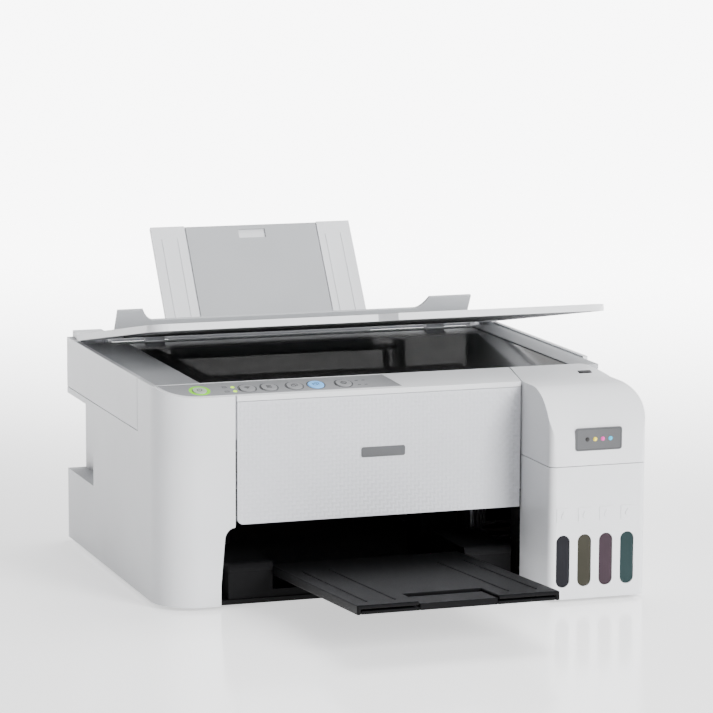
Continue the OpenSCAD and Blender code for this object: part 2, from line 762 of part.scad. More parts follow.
module scanner_bezel() {
    top = rim_z - 1.2;
    color([0.88, 0.88, 0.89]) placed() {
        difference() {
            block([-half_w + 4.4, 28.4, top - 4], [half_w - 4.4, body_d - 32, top]);
            block([glass_l + 4, glass_front + 4, 100], [glass_l + glass_w - 4, glass_front + glass_d - 4, 200]);
            block([glass_l - 0.3, glass_front - 0.3, top - 1 - glass_t], [glass_l + glass_w + 0.3, glass_front + glass_d + 0.3, 200]);
        }
        block([-half_w + 4.4, body_d - 38, top - 4.6], [half_w - 4.4, body_d - 30.4, top - 3.4]);
        for (x = lid_hinge_x) {
            block([x - 8, body_d - 33, top - 6], [x + 8, body_d - 25.4, rim_z + 5.4]);
            rod(x - 14, x + 14, lid_axis, lid_pin_r);
        }
    }
}

module scanner_glass() {
    color([0.02, 0.02, 0.02, 0.7]) placed()
        block([glass_l, glass_front, rim_z - 1.2 - glass_t - 0.6], [glass_l + glass_w, glass_front + glass_d, rim_z - 1.8]);
}
module scan_rail() {
    y = glass_front + glass_d / 2;
    color([0.75, 0.75, 0.77]) placed() {
        rod(glass_l - 6, glass_l + glass_w + 6, [0, y, scan_rail_z], 3);
        for (x = [glass_l - 10, glass_l + glass_w + 6])
            block([x, y - 8, seam_z + wall + 1], [x + 4, y + 8, scan_rail_z + 6]);
    }
}
module scan_head() {
    y = glass_front + glass_d / 2;
    color([0.15, 0.15, 0.16]) placed() {
        difference() {
            union() {
                block([glass_l + 8, glass_front + 2, rim_z - 20], [glass_l + 26, glass_front + glass_d - 2, rim_z - 7]);
                block([glass_l + 8, y - 12, rim_z - 33], [glass_l + 26, y + 12, rim_z - 19]);
            }
            rod(glass_l, glass_l + 40, [0, y, scan_rail_z], 3 + run);
        }
    }
}
module feeder_guard() {
    h = 31;
    dip = 19.5;
    color([0.78, 0.78, 0.79]) placed()
        translate(guard_axis) rotate([guard_lean, 0, 0]) {
            rotate([90, 0, 0]) translate([0, 0, -1.1]) linear_extrude(2.2) polygon(concat(
                [[-150, -1], [164, -1], [164, h], [164 - 38, h]],
                [for (a = [0:15:90]) [guard_mid + feed_w / 2 + 12 * (1 - sin(a)), dip + (h - dip) * (1 - sin(a)) * (1 - sin(a))]],
                [for (a = [90:-15:0]) [guard_mid - feed_w / 2 - 10 * (1 - sin(a)), dip + (h - dip) * (1 - sin(a)) * (1 - sin(a))]],
                [[-150 + 18, h], [-150, h]]
            ));
            rod(-157, 171, [0, 0, 0], 2);
        }
}
module lid_plan(inset) {
    front_l = strip_d + 3.4 + inset;
    front_r = 11 + inset;
    r = 16 - inset;
    left = -half_w + 1.5 + inset;
    right = half_w - 1 - inset;
    back = lid_axis[1] + 1.6 - inset;
    translate([left, front_l + r]) square([right - left, back - front_l - r]);
    translate([left + r, front_l]) square([right - left - 2 * r, r + 1]);
    translate([left + r, front_l + r]) circle(r);
    translate([right - r, front_r + r]) circle(r);
    polygon([
        [-2.5 + inset, front_l + 1], [-2.5 + inset, front_l], [8.5 + inset, front_r],
        [right - r, front_r], [right - r, front_r + r], [right, front_r + r], [right, front_l + r + 1]
    ]);
}
module lid_cover() {
    color([0.95, 0.95, 0.96]) placed() lifted(lid_axis, lid_open)
        difference() {
            translate([0, 0, lid_bottom]) linear_extrude(lid_t) lid_plan(0);
            difference() {
                translate([0, 0, lid_bottom - 1]) linear_extrude(lid_t - 1) lid_plan(3);
                block([-half_w, body_d - 38, 0], [half_w, body_d - 18, rim_z * 2]);
            }
            for (x = lid_hinge_x) {
                block([x - 8.5, body_d - 37, rim_z - 60], [x + 8.5, body_d - 18, rim_z * 2]);
                rod(x - 15, x + 15, lid_axis, lid_pin_r + run);
            }
        }
}
module document_mat() {
    color([0.9, 0.9, 0.9]) placed() lifted(lid_axis, lid_open)
        block([glass_l - 4, glass_front + 2, lid_bottom + 0.2], [glass_l + glass_w + 4, body_d - 41, lid_bottom + lid_t - 2.2]);
}

base_pan();
rubber_feet();
lower_housing();
tank_lower_cover();
tank_windows();
ink_tank_black();
ink_tank_yellow();
ink_tank_magenta();
ink_tank_cyan();
tank_cap_black();
tank_cap_yellow();
tank_cap_magenta();
tank_cap_cyan();
ink_tubes();
main_frame();
carriage_rail();
carriage();
print_head();
drive_belt();
carriage_motor();
motor_pulley();
idler_pulley();
feed_roller();
eject_roller();
feed_motor();
motor_pinion();
platen();
pinch_roller();
pickup_roller();
feeder_tray();
edge_guide();
paper_support();
support_extension();
cap_station();
power_supply();
ac_inlet();
main_board();
transfer_gear();
tray_frame();
output_tray();
tray_extension();
tray_stopper();
scanner_case();
front_panel();
tank_upper_cover();
scanner_bezel();
scanner_glass();
scan_rail();
scan_head();
control_strip();
status_lights();
power_button();
network_button();
info_button();
mono_button();
colour_button();
stop_button();
feeder_guard();
lid_cover();
document_mat();
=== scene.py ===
"""The looks of a flatbed inkjet printer with side ink tanks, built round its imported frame.

Lengths are in metres in the frame's own axes: +X to the right seen from the front, +Y to the
rear, +Z up. Every size that a CAD part already has is read from that part's own box.
"""

import json
import logging
import math
from dataclasses import dataclass, field
from enum import Enum

import bmesh
import bpy
from mathutils import Matrix, Vector

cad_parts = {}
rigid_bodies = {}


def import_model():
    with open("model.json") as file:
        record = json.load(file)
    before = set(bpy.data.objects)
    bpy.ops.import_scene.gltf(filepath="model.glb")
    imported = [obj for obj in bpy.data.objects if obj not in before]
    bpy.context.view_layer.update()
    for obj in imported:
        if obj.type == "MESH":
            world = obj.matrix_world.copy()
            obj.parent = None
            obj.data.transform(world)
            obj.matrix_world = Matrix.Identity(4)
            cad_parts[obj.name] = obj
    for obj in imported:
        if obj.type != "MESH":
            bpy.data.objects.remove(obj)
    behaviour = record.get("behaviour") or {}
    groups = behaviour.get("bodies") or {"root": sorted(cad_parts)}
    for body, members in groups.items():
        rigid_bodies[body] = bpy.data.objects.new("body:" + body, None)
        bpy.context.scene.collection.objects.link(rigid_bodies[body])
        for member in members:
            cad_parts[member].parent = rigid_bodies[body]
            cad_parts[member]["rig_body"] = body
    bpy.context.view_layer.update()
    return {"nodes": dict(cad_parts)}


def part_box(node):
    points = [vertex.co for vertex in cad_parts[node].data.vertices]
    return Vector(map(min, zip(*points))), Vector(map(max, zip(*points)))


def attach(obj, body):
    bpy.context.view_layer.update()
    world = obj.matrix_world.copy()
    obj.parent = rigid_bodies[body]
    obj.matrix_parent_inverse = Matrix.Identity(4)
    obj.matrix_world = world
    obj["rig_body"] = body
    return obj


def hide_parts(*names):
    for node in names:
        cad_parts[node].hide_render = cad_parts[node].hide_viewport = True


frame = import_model()
LOG = logging.getLogger("printer")
MM = 0.001
Point = tuple[float, float]


class Grain(Enum):
    """The fine surface of a finish, as the stretch of its noise along X, Y and Z."""

    MOULDED = (1.0, 1.0, 1.0)
    BRUSHED_X = (0.03, 1.0, 1.0)
    BRUSHED_Z = (1.0, 1.0, 0.04)


@dataclass(frozen=True)
class Finish:
    """One surface finish, which becomes one node material.

    Attributes:
        name: The material's name.
        slot: The record's material slot, or an empty string for none; not used.
        colour: The base colour, linear red, green and blue.
        roughness: The middle of the roughness range.
        metallic: One for bare metal, zero for everything else.
        grain: Which way the fine surface runs.
        grain_size: The distance between neighbouring bumps of the grain.
        grain_depth: How strongly the grain catches the light.
        variation: How far the colour drifts over the piece, as a share.
        coat: The strength of a clear lacquer on top.
        glow: The strength of the light that the piece gives off.
        specular: The strength of its plain reflections.
    """

    name: str
    slot: str
    colour: tuple[float, float, float]
    roughness: float = 0.42
    metallic: float = 0.0
    grain: Grain = Grain.MOULDED
    grain_size: float = 0.5 * MM
    grain_depth: float = 0.05
    variation: float = 0.03
    coat: float = 0.0
    glow: float = 0.0
    specular: float = 0.5

    def shade(self, share: float) -> tuple[float, float, float, float]:
        """Returns the base colour made lighter or darker by a share, with full alpha."""
        return (*[min(1.0, c * (1 + share)) for c in self.colour], 1.0)

    def material(self) -> bpy.types.Material:
        """Makes the node material once.

        Returns:
            The material, shared by every piece in this finish.
        """
        made = bpy.data.materials.get(self.name)
        if made is not None:
            return made
        made = bpy.data.materials.new(self.name)
        made.use_nodes = True
        made.diffuse_color = self.shade(0.0)
        nodes, links = made.node_tree.nodes, made.node_tree.links
        shader = nodes["Principled BSDF"]
        shader.inputs["Metallic"].default_value = self.metallic
        shader.inputs["Coat Weight"].default_value = self.coat
        shader.inputs["Specular IOR Level"].default_value = self.specular
        shader.inputs["Coat Roughness"].default_value = 0.06
        if self.glow:
            shader.inputs["Emission Color"].default_value = self.shade(0.0)
            shader.inputs["Emission Strength"].default_value = self.glow
        place = nodes.new("ShaderNodeTexCoord")
        stretch = nodes.new("ShaderNodeMapping")
        stretch.inputs["Scale"].default_value = self.grain.value
        links.new(place.outputs["Object"], stretch.inputs["Vector"])
        fine = nodes.new("ShaderNodeTexNoise")
        fine.inputs["Scale"].default_value = 0.5 / self.grain_size
        fine.inputs["Detail"].default_value = 3.0
        links.new(stretch.outputs["Vector"], fine.inputs["Vector"])
        broad = nodes.new("ShaderNodeTexNoise")
        broad.inputs["Scale"].default_value = 14.0
        broad.inputs["Detail"].default_value = 4.0
        links.new(place.outputs["Object"], broad.inputs["Vector"])
        tint = nodes.new("ShaderNodeValToRGB")
        tint.color_ramp.elements[0].position = 0.3
        tint.color_ramp.elements[1].position = 0.7
        tint.color_ramp.elements[0].color = self.shade(-self.variation)
        tint.color_ramp.elements[1].color = self.shade(self.variation)
        links.new(broad.outputs["Fac"], tint.inputs["Fac"])
        links.new(tint.outputs["Color"], shader.inputs["Base Color"])
        rough = nodes.new("ShaderNodeMapRange")
        rough.inputs["To Min"].default_value = self.roughness * 0.85
        rough.inputs["To Max"].default_value = min(1.0, self.roughness * 1.15)
        links.new(fine.outputs["Fac"], rough.inputs["Value"])
        links.new(rough.outputs["Result"], shader.inputs["Roughness"])
        bump = nodes.new("ShaderNodeBump")
        bump.inputs["Strength"].default_value = self.grain_depth
        bump.inputs["Distance"].default_value = self.grain_size * 0.5
        links.new(fine.outputs["Fac"], bump.inputs["Height"])
        links.new(bump.outputs["Normal"], shader.inputs["Normal"])
        return made


WHITE = Finish("white_moulding", "white_shell", (0.72, 0.73, 0.75))
PANEL = Finish("panel_moulding", "textured_white", (0.61, 0.62, 0.655), 0.36)
BEZEL = Finish("bezel_moulding", "bezel_grey", (0.40, 0.41, 0.425), 0.45)
STRIP = Finish("strip_moulding", "strip_grey", (0.25, 0.255, 0.265), 0.42)
BUTTON = Finish("button_moulding", "button_grey", (0.27, 0.275, 0.285), 0.42)
BUTTON_BLUE = Finish("button_blue_lit", "button_blue", (0.16, 0.42, 0.80), 0.35, glow=0.5)
BUTTON_GREEN = Finish("button_green_lit", "button_green", (0.40, 0.46, 0.38), 0.35)
RING_GREEN = Finish("ring_green_lit", "button_green", (0.16, 0.52, 0.01), 0.35, glow=0.9)
LIGHT = Finish("light_lens", "light_green", (0.42, 0.80, 0.01), 0.2, coat=0.6, glow=2.2)
PRINT_GREY = Finish("printed_grey", "strip_grey", (0.035, 0.036, 0.038), 0.5)
PRINT_DARK = Finish("printed_dark", "strip_grey", (0.008, 0.008, 0.009), 0.5)
CHARCOAL = Finish("charcoal_moulding", "charcoal", (0.005, 0.005, 0.0055), 0.50,
                  grain_depth=0.12, variation=0.12, specular=0.1)
BLACK = Finish("black_moulding", "charcoal", (0.002, 0.002, 0.0022), 0.55,
               grain_depth=0.12, variation=0.15, specular=0.2)
RUBBER = Finish("rubber", "rubber_black", (0.018, 0.018, 0.018), 0.8,
                grain_size=0.3 * MM, grain_depth=0.25, variation=0.2)
STEEL = Finish("rolled_steel", "steel", (0.55, 0.56, 0.58), 0.32, 1.0,
               Grain.BRUSHED_X, 0.25 * MM, 0.12, 0.06)
BRASS = Finish("machined_brass", "brass_gear", (0.72, 0.52, 0.22), 0.28, 1.0,
               Grain.BRUSHED_Z, 0.2 * MM, 0.12, 0.06)
GEAR = Finish("gear_moulding", "gear_white", (0.78, 0.78, 0.74), 0.4)
BOARD = Finish("solder_mask", "board_green", (0.012, 0.11, 0.04), 0.3, coat=0.4, variation=0.15)
TUBE = Finish("tube", "tube_clear", (0.05, 0.05, 0.052), 0.35)
GLASS = Finish("dark_glass", "dark_glass", (0.001, 0.001, 0.0012), 0.035, specular=0.3,
               grain_size=6 * MM, grain_depth=0.004, variation=0.3)
# Painted shade: the white foam mat is coloured dark grey, as the shadow under the barely opened lid
# makes it look.
MAT_PAINTED_SHADE = Finish("foam_mat_painted_shade", "mat_white", (0.17, 0.175, 0.18), 0.75, grain_size=0.8 * MM,
             grain_depth=0.25, variation=0.05)
SILVER = Finish("brushed_badge", "steel", (0.11, 0.112, 0.117), 0.32, 0.6,
                Grain.BRUSHED_X, 0.25 * MM, 0.08, 0.12)
LABEL = Finish("blank_label", "charcoal", (0.02, 0.02, 0.022), 0.25, coat=0.3)
PLATE = Finish("rating_plate", "bezel_grey", (0.62, 0.62, 0.63), 0.35)
INKS = {
    "black": (0.006, 0.006, 0.007), "yellow": (0.70, 0.46, 0.0),
    "magenta": (0.52, 0.0, 0.14), "cyan": (0.0, 0.20, 0.55),
}
WINDOW_TINTS = {
    "black": (0.008, 0.008, 0.011), "yellow": (0.030, 0.028, 0.020),
    "magenta": (0.032, 0.020, 0.027), "cyan": (0.012, 0.025, 0.026),
}


def corners(node: str) -> tuple[Vector, Vector]:
    """Returns the lowest and the highest corner of a CAD node at rest."""
    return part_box(node)


def dressed(piece: bpy.types.Object, finish: Finish, body: str) -> bpy.types.Object:
    """Gives a new piece its finish and lets it ride on a body.

    Args:
        piece: The piece, in place in the frame.
        finish: The finish of its whole surface.
        body: The body that carries it.

    Returns:
        The same piece.
    """
    piece.data.materials.clear()
    piece.data.materials.append(finish.material())
    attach(piece, body)
    return piece


def softened(node: str, body: str, finish: Finish, radius: float = 0.5 * MM) -> bpy.types.Object:
    """Shows a CAD node through a copy whose edges are rounded as a mould rounds them.

    Args:
        node: The CAD node that the copy stands for.
        body: The body that carries it.
        finish: The finish of its whole surface.
        radius: The radius of the rounded edges.

    Returns:
        The new piece.
    """
    source = frame["nodes"][node]
    piece = bpy.data.objects.new(node + "_shown", source.data.copy())
    bpy.context.scene.collection.objects.link(piece)
    shape = bmesh.new()
    shape.from_mesh(piece.data)
    bmesh.ops.remove_doubles(shape, verts=shape.verts, dist=0.002 * MM)
    bmesh.ops.dissolve_limit(shape, angle_limit=math.radians(0.3), verts=shape.verts,
                             edges=shape.edges)
    for face in shape.faces:
        face.smooth = True
    shape.to_mesh(piece.data)
    shape.free()
    rounded(piece, radius)
    dressed(piece, finish, body)
    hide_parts(node)
    return piece


def rounded(piece: bpy.types.Object, radius: float, segments: int = 2) -> None:
    """Rounds a piece's sharp edges and keeps its flat faces flat in the light.

    Args:
        piece: The piece to round.
        radius: The radius of the rounded edges.
        segments: The number of facets round an edge.
    """
    edge = piece.modifiers.new("rounding", "BEVEL")
    edge.width = radius
    edge.segments = segments
    edge.limit_method = "ANGLE"
    edge.angle_limit = math.radians(32)
    edge.use_clamp_overlap = True
    light = piece.modifiers.new("even_light", "WEIGHTED_NORMAL")
    light.weight = 90


def outline_piece(name: str, outline: list[Point], thickness: float,
                  place: Matrix) -> bpy.types.Object:
    """Makes a flat plate from an outline.

    Args:
        name: The piece's name.
        outline: The corners in the plate's own plane, anticlockwise seen from its top.
        thickness: The plate's thickness, from its own zero upwards.
        place: Where the plate's own axes stand in the frame.

    Returns:
        The new piece, not yet dressed.
    """
    shape = bmesh.new()
    low = [shape.verts.new(place @ Vector((x, y, 0.0))) for x, y in outline]
    high = [shape.verts.new(place @ Vector((x, y, thickness))) for x, y in outline]
    shape.faces.new(list(reversed(low)))
    shape.faces.new(high)
    for i in range(len(outline)):
        j = (i + 1) % len(outline)
        shape.faces.new((low[i], low[j], high[j], high[i]))
    return from_bmesh(name, shape)


def from_bmesh(name: str, shape: bmesh.types.BMesh, smooth: bool = True) -> bpy.types.Object:
    """Turns a mesh under construction into a linked object and frees it.

    Args:
        name: The object's name.
        shape: The mesh under construction.
        smooth: Whether its faces are shaded as one curved surface.

    Returns:
        The new object.
    """
    bmesh.ops.recalc_face_normals(shape, faces=shape.faces)
    for face in shape.faces:
        face.smooth = smooth
    mesh = bpy.data.meshes.new(name)
    shape.to_mesh(mesh)
    shape.free()
    piece = bpy.data.objects.new(name, mesh)
    bpy.context.scene.collection.objects.link(piece)
    return piece


def round_box(width: float, height: float, radius: float, steps: int = 6) -> list[Point]:
    """Returns the outline of a rectangle with round corners, centred on its own zero."""
    points = []
    for turn, (sx, sy) in enumerate(((1, 1), (-1, 1), (-1, -1), (1, -1))):
        cx, cy = sx * (width / 2 - radius), sy * (height / 2 - radius)
        for i in range(steps + 1):
            a = math.radians(90 * turn + 90 * i / steps)
            points.append((cx + radius * math.cos(a), cy + radius * math.sin(a)))
    return points


def disc(radius: float, steps: int = 40) -> list[Point]:
    """Returns the outline of a circle centred on its own zero."""
    return [(radius * math.cos(2 * math.pi * i / steps), radius * math.sin(2 * math.pi * i / steps))
            for i in range(steps)]


def ribbon(name: str, path: list[Point], width: float, thickness: float, place: Matrix,
           closed: bool = False) -> bpy.types.Object:
    """Makes a flat raised line along a path in a plane.

    Args:
        name: The piece's name.
        path: The middle of the line, in the plane's own axes.
        width: The line's width.
        thickness: How far the line stands above the plane.
        place: Where the plane's own axes stand in the frame.
        closed: Whether the line joins its own start.

    Returns:
        The new piece, not yet dressed.
    """
    shape = bmesh.new()
    count = len(path)
    rings = []
    for i, (x, y) in enumerate(path):
        before = path[i - 1] if closed or i > 0 else path[i]
        after = path[(i + 1) % count] if closed or i < count - 1 else path[i]
        along = Vector((after[0] - before[0], after[1] - before[1])).normalized()
        side = Vector((-along.y, along.x)) * width / 2
        ring = [(x + side.x, y + side.y, 0), (x - side.x, y - side.y, 0),
                (x - side.x, y - side.y, thickness), (x + side.x, y + side.y, thickness)]
        rings.append([shape.verts.new(place @ Vector(p)) for p in ring])
    for i in range(count if closed else count - 1):
        a, b = rings[i], rings[(i + 1) % count]
        for k in range(4):
            shape.faces.new((a[k], a[(k + 1) % 4], b[(k + 1) % 4], b[k]))
    if not closed:
        shape.faces.new(rings[0])
        shape.faces.new(list(reversed(rings[-1])))
    return from_bmesh(name, shape, smooth=False)


def joined(name: str, parts: list[bpy.types.Object]) -> bpy.types.Object:
    """Joins several new pieces into one piece.

    Args:
        name: The name of the joined piece.
        parts: The pieces, none of them dressed yet.

    Returns:
        The joined piece.
    """
    shape = bmesh.new()
    for part in parts:
        shape.from_mesh(part.data)
        bpy.data.objects.remove(part)
    return from_bmesh(name, shape, smooth=False)


def arc(radius: float, start: float, end: float, centre: Point = (0.0, 0.0),
        steps: int = 16) -> list[Point]:
    """Returns points along a circle's arc between two angles in degrees."""
    return [(centre[0] + radius * math.cos(math.radians(start + (end - start) * i / steps)),
             centre[1] + radius * math.sin(math.radians(start + (end - start) * i / steps)))
            for i in range(steps + 1)]


def facing_front(x: float, y: float, z: float) -> Matrix:
    """Returns the place of a plane at a point that faces -Y: its X is +X and its Y is +Z."""
    return Matrix.Translation((x, y, z)) @ Matrix.Rotation(math.radians(90), 4, "X")


def facing_rear(x: float, y: float, z: float) -> Matrix:
    """Returns the place of a plane at a point that faces +Y: its X is -X and its Y is +Z."""
    return Matrix.Translation((x, y, z)) @ Matrix.Rotation(math.radians(180), 4, "Z") \
        @ Matrix.Rotation(math.radians(90), 4, "X")


FRONT_Y = corners("front_panel")[0].y
REAR_Y = corners("scanner_case")[1].y
PRINT = 0.06 * MM


@dataclass
class Assembly:
    """A group of pieces of the printer that are made together.

    Attributes:
        made: The pieces made so far.
    """

    made: list[bpy.types.Object] = field(default_factory=list, init=False)

    def shell(self, node: str, finish: Finish, radius: float = 0.5 * MM) -> bpy.types.Object:
        """Shows a CAD node through a softened copy and keeps it."""
        piece = softened(node, frame["nodes"][node]["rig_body"], finish, radius)
        self.made.append(piece)
        return piece

    def paint(self, node: str, finish: Finish) -> None:
        """Gives a CAD node that stays as it is a finish."""
        surface = frame["nodes"][node].data
        surface.materials.clear()
        surface.materials.append(finish.material())

    def add(self, piece: bpy.types.Object, finish: Finish, body: str) -> bpy.types.Object:
        """Dresses a new piece, puts it on a body and keeps it."""
        self.made.append(dressed(piece, finish, body))
        return piece

    def report(self) -> None:
        """Logs each piece of the group."""
        for piece in self.made:
            LOG.info("%s: %s", type(self).__name__, piece.name)


@dataclass
class Housing(Assembly):
    """The white covers, the base and the details of the rear.

    Attributes:
        edge: The radius of the moulded edges.
        vent: The width and the height of one louvre.
        vent_at: The first louvre's centre in X and Z.
        vent_count: The number of louvres on the rear wall.
        vent_pitch: The distance between louvres.
        plate: The width and the height of the rating plate.
        plate_at: The rating plate's centre in X and Z.
        head_radius: The radius of a screw's head.
        head_rise: How far a screw's head stands out of the wall.
        slot: The length and the width of one arm of a screw's cross.
        screws_at: The screws' centres in X and Z.
    """

    edge: float = 1.0 * MM
    vent: Point = (2.6 * MM, 34 * MM)
    vent_at: Point = (-20 * MM, 96 * MM)
    vent_count: int = 12
    vent_pitch: float = 6 * MM
    plate: Point = (58 * MM, 26 * MM)
    plate_at: Point = (60 * MM, 92 * MM)
    head_radius: float = 3 * MM
    head_rise: float = 0.5 * MM
    slot: Point = (3.2 * MM, 0.8 * MM)
    screws_at: tuple[Point, ...] = ((-150 * MM, 20 * MM), (-10 * MM, 20 * MM),
                                    (158 * MM, 20 * MM), (158 * MM, 118 * MM))

    def build(self) -> None:
        """Makes every cover and what is fixed to the rear wall."""
        self.shell("base_pan", BLACK)
        self.shell("rubber_feet", RUBBER, 0.8 * MM)
        for node in ("lower_housing", "tank_lower_cover", "scanner_case", "tank_upper_cover"):
            self.shell(node, WHITE, self.edge)
        self.build_rear()
        self.report()

    def build_rear(self) -> None:
        """Makes the louvres, the blank rating plate and the screws of the rear wall."""
        louvres = []
        for i in range(self.vent_count):
            place = facing_rear(self.vent_at[0] - i * self.vent_pitch, REAR_Y, self.vent_at[1])
            louvres.append(outline_piece("louvre", round_box(*self.vent, 1.2 * MM),
                                         0.5 * MM, place))
        self.add(joined("rear_louvres", louvres), BEZEL, "base")
        plate = outline_piece("rating_plate", round_box(*self.plate, 1.5 * MM), 0.25 * MM,
                              facing_rear(self.plate_at[0], REAR_Y, self.plate_at[1]))
        self.add(plate, PLATE, "base")
        screws = [part for x, z in self.screws_at for part in self.screw(x, z)]
        self.add(joined("rear_screws", screws), STEEL, "base")

    def screw(self, x: float, z: float) -> list[bpy.types.Object]:
        """Makes the head of one screw and the two arms of its cross.

        Args:
            x: The screw's centre in X.
            z: The screw's centre in Z.

        Returns:
            The three parts.
        """
        place = facing_rear(x, REAR_Y, z)
        parts = [outline_piece("head", disc(self.head_radius, 28), self.head_rise, place)]
        for turn in (0, 90):
            arm = place @ Matrix.Translation((0, 0, self.head_rise)) \
                @ Matrix.Rotation(math.radians(turn), 4, "Z")
            parts.append(outline_piece("arm", round_box(*self.slot, 0.2 * MM, 2), 2 * PRINT, arm))
        return parts


@dataclass
class FrontPanel(Assembly):
    """The textured panel under the control strip, with its plain nameplate.

    Attributes:
        cell: The side of one strand crossing of the weave.
        relief: The height of a strand.
        sink: How far the relief's foot lies inside the panel.
        margin: The plain border round the weave.
        corner: The radius of the panel's lower left corner.
        plate: The nameplate's width and height.
        plate_at: The nameplate's centre in X and Z.
    """

    cell: float = 3.2 * MM
    relief: float = 0.38 * MM
    sink: float = 0.02 * MM
    margin: float = 1.6 * MM
    corner: float = 5 * MM
    plate: Point = (36 * MM, 8 * MM)
    plate_at: Point = (-9 * MM, 117 * MM)

    def build(self) -> None:
        """Makes the panel, its woven relief and the nameplate."""
        self.shell("front_panel", PANEL, 0.6 * MM)
        self.add(self.weave(), PANEL, "scanner")
        place = facing_front(self.plate_at[0], FRONT_Y - self.relief, self.plate_at[1])
        plate = outline_piece("nameplate", round_box(*self.plate, 1.6 * MM, 8),
                              0.35 * MM, place)
        rounded(self.add(plate, SILVER, "scanner"), 0.15 * MM)
        self.report()

    def weave(self) -> bpy.types.Object:
        """Makes the relief: crossings whose ridges run across and along by turns.

        Returns:
            The relief as one skin on the panel's face.
        """
        low, high = corners("front_panel")
        x0, z0 = low.x + self.margin, low.z + self.margin
        columns = int((high.x - x0 - self.margin) / self.cell)
        rows = int((high.z - z0 - self.margin) / self.cell)
        wide = (high.x - x0 - self.margin) / columns
        tall = (high.z - z0 - self.margin) / rows
        shape = bmesh.new()
        for i in range(columns):
            for j in range(rows):
                if i * wide < self.corner * 0.4 and j * tall < self.corner * 0.4:
                    continue
                self.crossing(shape, x0 + i * wide, z0 + j * tall, wide, tall, (i + j) % 2 == 0)
        return from_bmesh("front_panel_weave", shape, smooth=False)

    def crossing(self, shape: bmesh.types.BMesh, x: float, z: float, wide: float, tall: float,
                 across: bool) -> None:
        """Adds one crossing, a low roof with its ridge along X or along Z.

        Args:
            shape: The relief under construction.
            x: The crossing's left edge.
            z: The crossing's lower edge.
            wide: Its width.
            tall: Its height.
            across: Whether the ridge runs along X.
        """
        y, top = FRONT_Y + self.sink, FRONT_Y - self.relief
        base = [shape.verts.new(p) for p in ((x, y, z), (x + wide, y, z),
                                             (x + wide, y, z + tall), (x, y, z + tall))]
        if across:
            ridge = [shape.verts.new((x, top, z + tall / 2)),
                     shape.verts.new((x + wide, top, z + tall / 2))]
            faces = ((base[0], base[1], ridge[1], ridge[0]), (base[2], base[3], ridge[0], ridge[1]),
                     (base[3], base[0], ridge[0]), (base[1], base[2], ridge[1]))
        else:
            ridge = [shape.verts.new((x + wide / 2, top, z)),
                     shape.verts.new((x + wide / 2, top, z + tall))]
            faces = ((base[1], base[2], ridge[1], ridge[0]), (base[3], base[0], ridge[0], ridge[1]),
                     (base[0], base[1], ridge[0]), (base[2], base[3], ridge[1]))
        for corner_list in (*faces, tuple(reversed(base))):
            shape.faces.new(corner_list)


class Icon(Enum):
    """The plain signs on the buttons, as the paths of their lines in millimetres."""

    POWER = ([*arc(1.9, 125, 415)], [(0.0, 0.5), (0.0, 2.5)])
    NETWORK = (arc(1.0, 40, 140, (0, -1.4)), arc(2.1, 40, 140, (0, -1.4)),
               arc(3.2, 40, 140, (0, -1.4)), [(-0.3, -1.6), (0.3, -1.6)])
    SHEET = ([(-1.5, -2.0), (1.5, -2.0), (1.5, 2.0), (-1.5, 2.0), (-1.5, -2.0)],
             [(-0.8, 0.8), (0.8, 0.8)], [(-0.8, -0.4), (0.8, -0.4)])
    COPY = ([(-2.4, -1.8), (0.6, -1.8), (0.6, 1.2), (-2.4, 1.2), (-2.4, -1.8)],
            [(-0.8, 1.2), (-0.8, 2.2), (2.4, 2.2), (2.4, -0.8), (0.6, -0.8)])
    STOP = (arc(2.2, 0, 360), [(-1.5, 1.5), (1.5, -1.5)])


